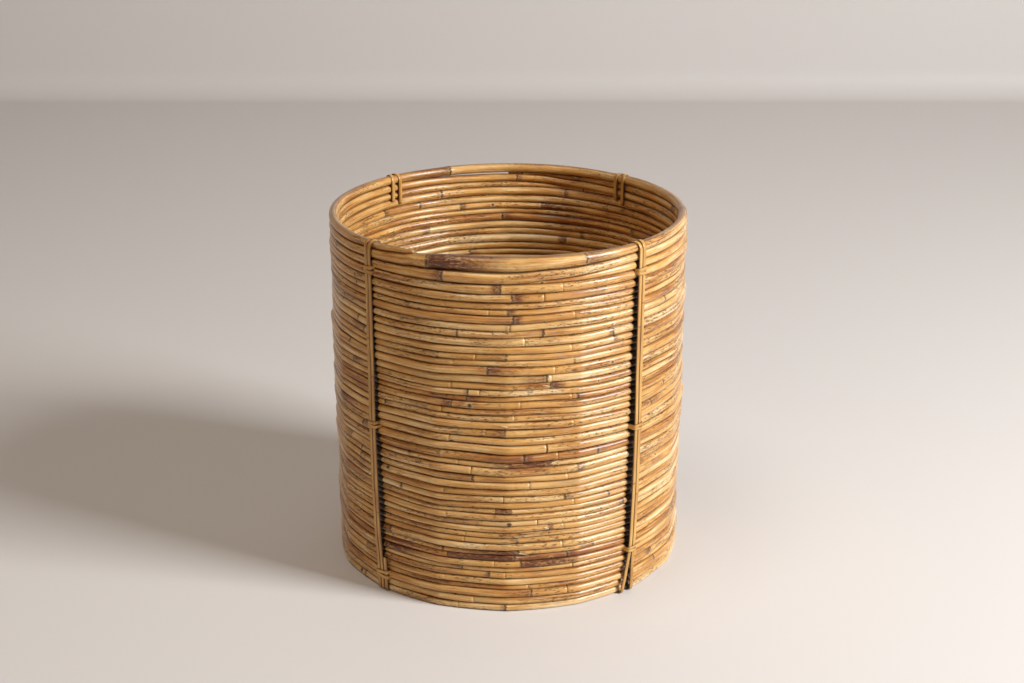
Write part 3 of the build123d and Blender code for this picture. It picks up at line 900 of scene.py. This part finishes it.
# (height, height of the band) of the wraps
TIES = [(282.0, 6.0), (150.0, 5.0)]
LOW_TIE = (15.0, 6.0)
SPLAYED_LOW_TIE = (40.0, 5.0)
TIE_PLAY = 0.4
TIE_THICK = 0.9
TIE_TURN_SHARE = 0.56         # of the band's height that each of its two turns takes
TIE_TURN_LIFT = 0.26
TIE_SLOPES = (-0.075, 0.125)  # rise of the two turns per mm sideways
TIE_STEP = 0.6
STRIP_STEP = 2.0
# mm by which the painted shade reaches past the strips
PAINTED_SHADE_REACH = {"front_left": -0.9, "front_right": 0.4, "back_right": -0.2, "back_left": -0.2}


def station_place(station, radius, z, sideways):
    """Points at a binding, from their radius, height and offset sideways, and the sideways direction."""
    rim_angle, foot_angle, _, _ = STATIONS[station]
    a = np.radians(foot_angle + (rim_angle - foot_angle) * np.asarray(z) / HEIGHT)
    outward = np.column_stack([np.sin(a), -np.cos(a), np.zeros_like(a)])
    across = np.column_stack([np.cos(a), np.sin(a), np.zeros_like(a)])
    points = outward * np.asarray(radius)[:, None] + across * np.asarray(sideways)[:, None]
    points[:, 2] = z
    return points, across


def ribbon(points, across, width, thick, seed, nodes=()):
    """Split cane along points: flat inside, rounded outside. across is the direction of its width."""
    along_dir = directions(points)
    across = across - along_dir * np.sum(across * along_dir, axis=1, keepdims=True)
    across /= np.linalg.norm(across, axis=1, keepdims=True)
    face = np.cross(along_dir, across)
    rng = np.random.default_rng(seed)
    step = np.linalg.norm(np.diff(points, axis=0), axis=1)
    along = np.concatenate([[0], np.cumsum(step)])
    width = width * (1 + 0.05 * gentle(rng, along, 60, 220))
    shape = np.array(STRIP_PROFILE)
    sides = len(shape)
    vertices = points[:, None, :] + across[:, None, :] * (shape[None, :, 0:1] * width[:, None, None])
    vertices = vertices + face[:, None, :] * (shape[None, :, 1:2] * thick)
    vertices = vertices.reshape(-1, 3)
    count = len(points)
    faces = []
    for i in range(count - 1):
        for j in range(sides):
            k = (j + 1) % sides
            faces.append([i * sides + j, i * sides + k, (i + 1) * sides + k, (i + 1) * sides + j])
    faces.append(list(range(sides - 1, -1, -1)))
    faces.append([(count - 1) * sides + n for n in range(sides)])
    distance = np.full(count, FAR)
    for place in nodes:
        off = along - place
        nearer = np.abs(off) < np.abs(distance)
        distance[nearer] = off[nearer]
    rod = np.column_stack([
        np.repeat(along + ROD_PATTERN_SHIFT * seed, sides),
        np.tile(shape[:, 0] * width.mean(), count),
        np.tile(shape[:, 1] * thick, count),
    ])
    edge = np.tile(np.abs(shape[:, 0]) * 2, count)
    return vertices, faces, {"rod": rod, "node": np.repeat(distance, sides), "edge": edge}


def outer_line(z):
    return wall_radius(z) + WALL_HALF_THICKNESS + follow(STRIP_HOLD_OFF, z) + STRIP_THICK / 2


def inner_line(z):
    return wall_radius(z) - WALL_HALF_THICKNESS - STRIP_THICK / 2


def refine(path, step):
    """Smooth a (radius, z, sideways) path and give it a point about every step mm."""
    path = np.array(path, float)
    for _ in range(2):
        middle = (path[:-1] + path[1:]) / 2
        quarters = np.stack([(path[:-1] + middle) / 2, (middle + path[1:]) / 2], 1)
        path = np.vstack([path[:1], quarters.reshape(-1, 3), path[-1:]])
    length = np.concatenate([[0], np.cumsum(np.linalg.norm(np.diff(path, axis=0), axis=1))])
    even = np.linspace(0, length[-1], max(8, int(length[-1] / step)))
    return np.column_stack([np.interp(even, length, path[:, n]) for n in range(3)])


def foot_path(spacing):
    """Path of a strip under the lowest hoop, from the inside to the outside."""
    inner, outer = float(inner_line(0)), float(outer_line(0))
    under = ROD_GAP + STRIP_THICK / 2
    return [
        (inner, 9.0, spacing), (inner, 2.0, spacing), (inner + FOOT_CORNER, under, spacing),
        (outer - FOOT_CORNER, under, spacing), (outer, 2.0, spacing), (float(outer_line(6)), 6.0, spacing),
    ]


def strip_path(splayed, inner_end, side):
    """Path of a strip from the foot up the outside, over the rim and down inside."""
    foot_spacing = SPLAYED_SPACING[side] if splayed else STRIP_SPACING
    path = foot_path(foot_spacing)
    bend_z = HEIGHT - WALL_HALF_THICKNESS
    for z in np.linspace(12, bend_z, 30):
        spacing = STRIP_SPACING + (foot_spacing - STRIP_SPACING) * max(1 - z / SPLAY_TOP, 0)
        path.append((float(outer_line(z)), z, spacing))
    bend = WALL_HALF_THICKNESS + 0.2 + STRIP_THICK / 2
    for degrees in range(20, 180, 20):
        a = math.radians(degrees)
        spacing = STRIP_SPACING + (STRIP_SPACING_INSIDE - STRIP_SPACING) * float(ease(degrees / 180))
        path.append((WALL_RADIUS_TOP + bend * math.cos(a), bend_z + bend * math.sin(a), spacing))
    path.append((float(inner_line(bend_z)), bend_z, STRIP_SPACING_INSIDE))
    path.append((float(inner_line(inner_end + 3)), inner_end + 3, STRIP_SPACING_INSIDE))
    path.append((float(inner_line(inner_end)) + 1.0, inner_end, STRIP_SPACING_INSIDE))
    return path


def strip(station, path, side, seed):
    radius, z, sideways = refine(path, STRIP_STEP).T
    points, across = station_place(station, radius, z, sideways * side)
    rng = np.random.default_rng(seed)
    nodes = [rng.uniform(60, 130), rng.uniform(190, 280)]
    return ribbon(points, -across, STRIP_WIDTH, STRIP_THICK, seed, nodes)


def tie(station, z, band, seed):
    """Two turns of cane round the strips, with their ends in the grooves of the wall."""
    _, _, _, extra = STATIONS[station]
    right = STRIP_SPACING + STRIP_WIDTH / 2 + TIE_PLAY
    left = -right
    if extra and z < FOOT_STRIP_TOP:
        right = FOOT_STRIP_OFFSET + STRIP_WIDTH / 2 + TIE_PLAY
    wall = float(wall_radius(z)) + WALL_HALF_THICKNESS
    face = float(outer_line(z)) + STRIP_THICK / 2 + TIE_THICK / 2
    plan = [
        (left - 1.0, wall - 2.4), (left - 0.5, wall - 0.6), (left - 0.4, face - 1.0), (left + 0.7, face),
        (0.0, face + 0.15),
        (right - 0.7, face), (right + 0.4, face - 1.0), (right + 0.5, wall - 0.6), (right + 1.0, wall - 2.4),
    ]
    turns = []
    for n, slope in enumerate(TIE_SLOPES):
        lift = TIE_TURN_LIFT * (2 * n - 1)
        rows = [(radius, z + lift * band + slope * sideways, sideways) for sideways, radius in plan]
        radius, heights, sideways = refine(rows, TIE_STEP).T
        points, across = station_place(station, radius, heights, sideways)
        upward = np.tile(np.array([0.0, 0.0, 1.0]), (len(points), 1))
        turns.append(ribbon(points, upward, band * TIE_TURN_SHARE, TIE_THICK, seed + n))
    return turns


def make_bindings():
    for number, (station, (_, _, splayed, extra)) in enumerate(STATIONS.items()):
        seed = 300 + 20 * number
        parts = []
        for n, (side, inner_end) in enumerate(zip((-1, 1), INNER_RUN_ENDS)):
            parts.append(strip(station, strip_path(splayed, inner_end, side), side, seed + n))
        if extra:
            path = foot_path(FOOT_STRIP_OFFSET)
            path += [(float(outer_line(z)), z, FOOT_STRIP_OFFSET) for z in (12.0, 20.0, FOOT_STRIP_TOP)]
            parts.append(strip(station, path, 1, seed + 3))
        low_tie = SPLAYED_LOW_TIE if splayed else LOW_TIE
        for n, (z, band) in enumerate([*TIES, low_tie]):
            parts += tie(station, z, band, seed + 5 + 3 * n)
        vertices, faces, values = join(parts)
        node = f"binding_{station}"
        show(mesh_object(f"{node}_look", vertices, faces, values, CANE), node)


def dress_brads():
    """The CAD's own brads, with a material."""
    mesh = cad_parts["brads"].data
    mesh.materials.clear()
    mesh.materials.append(BRAD)


# ------------------------------------------------------------------ stage (m)
STAGE_FRONT = -4.0
STAGE_BACK = 1.85
STAGE_BEND = 0.05
STAGE_BEND_STEPS = 8
STAGE_HEIGHT = 3.5
STAGE_HALF_WIDTH = 4.5
FLOOR_COLOUR = (0.66, 0.635, 0.615)
WORLD_COLOUR = (1.0, 0.76, 0.54)
WORLD_STRENGTH = 0.13
LIGHT_TARGET = (0, 0, 0.18)
# name: (place, width, height, watts, colour)
LIGHTS = {
    "key": ((2.05, -0.95, 1.5), 0.8, 1.1, 98, (0.98, 0.99, 1.0)),
    "fill": ((-1.6, -2.0, 1.2), 1.6, 1.6, 4.5, (1.0, 0.62, 0.33)),
    "top": ((-0.5, -0.5, 2.4), 1.0, 1.0, 14, (1.0, 0.92, 0.84)),
}
CAMERA_PLACE = (0.0032, -1.580, 0.740)
CAMERA_DROP = 19.4            # degrees below level
CAMERA_LENS = 67.8
CAMERA_SENSOR = 36.0


def make_floor():
    """Pale floor that curves up into a wall behind."""
    flat_end = STAGE_BACK - STAGE_BEND
    rows = [(STAGE_FRONT, 0.0), (flat_end, 0.0)]
    for n in range(1, STAGE_BEND_STEPS + 1):
        a = math.radians(90 * n / STAGE_BEND_STEPS)
        rows.append((flat_end + STAGE_BEND * math.sin(a), STAGE_BEND - STAGE_BEND * math.cos(a)))
    rows.append((STAGE_BACK, STAGE_HEIGHT))
    vertices, faces = [], []
    for y, z in rows:
        vertices.append((-STAGE_HALF_WIDTH / MM, y / MM, z / MM))
        vertices.append((STAGE_HALF_WIDTH / MM, y / MM, z / MM))
    for n in range(len(rows) - 1):
        faces.append([2 * n, 2 * n + 1, 2 * n + 3, 2 * n + 2])
    floor = mesh_object("floor", vertices, faces, None, plain_material("floor", FLOOR_COLOUR, 0.6))


def area_light(name, place, width, height, watts, colour):
    data = bpy.data.lights.new(name, "AREA")
    data.shape = "RECTANGLE"
    data.size = width
    data.size_y = height
    data.energy = watts
    data.color = colour
    lamp = bpy.data.objects.new(name, data)
    lamp.location = place
    lamp.rotation_euler = (Vector(LIGHT_TARGET) - Vector(place)).to_track_quat("-Z", "Y").to_euler()
    bpy.context.scene.collection.objects.link(lamp)


def make_lights():
    world = bpy.data.worlds.new("world")
    world.use_nodes = True
    background = world.node_tree.nodes["Background"]
    background.inputs["Color"].default_value = (*WORLD_COLOUR, 1)
    background.inputs["Strength"].default_value = WORLD_STRENGTH
    bpy.context.scene.world = world
    for name, light in LIGHTS.items():
        area_light(name, *light)


def make_camera():
    scene = bpy.context.scene
    camera = bpy.data.cameras.new("camera")
    camera.lens = CAMERA_LENS
    camera.sensor_width = CAMERA_SENSOR
    eye = bpy.data.objects.new("camera", camera)
    eye.location = CAMERA_PLACE
    eye.rotation_euler = (math.radians(90 - CAMERA_DROP), 0, 0)
    scene.collection.objects.link(eye)
    scene.camera = eye
    scene.view_settings.view_transform = "Standard"
    scene.view_settings.look = "None"


make_rim_rod()
make_wedge_rod()
make_hoops()
make_base_hoop()
make_base_rods()
make_base_bar()
make_bindings()
dress_brads()
make_floor()
make_lights()
make_camera()
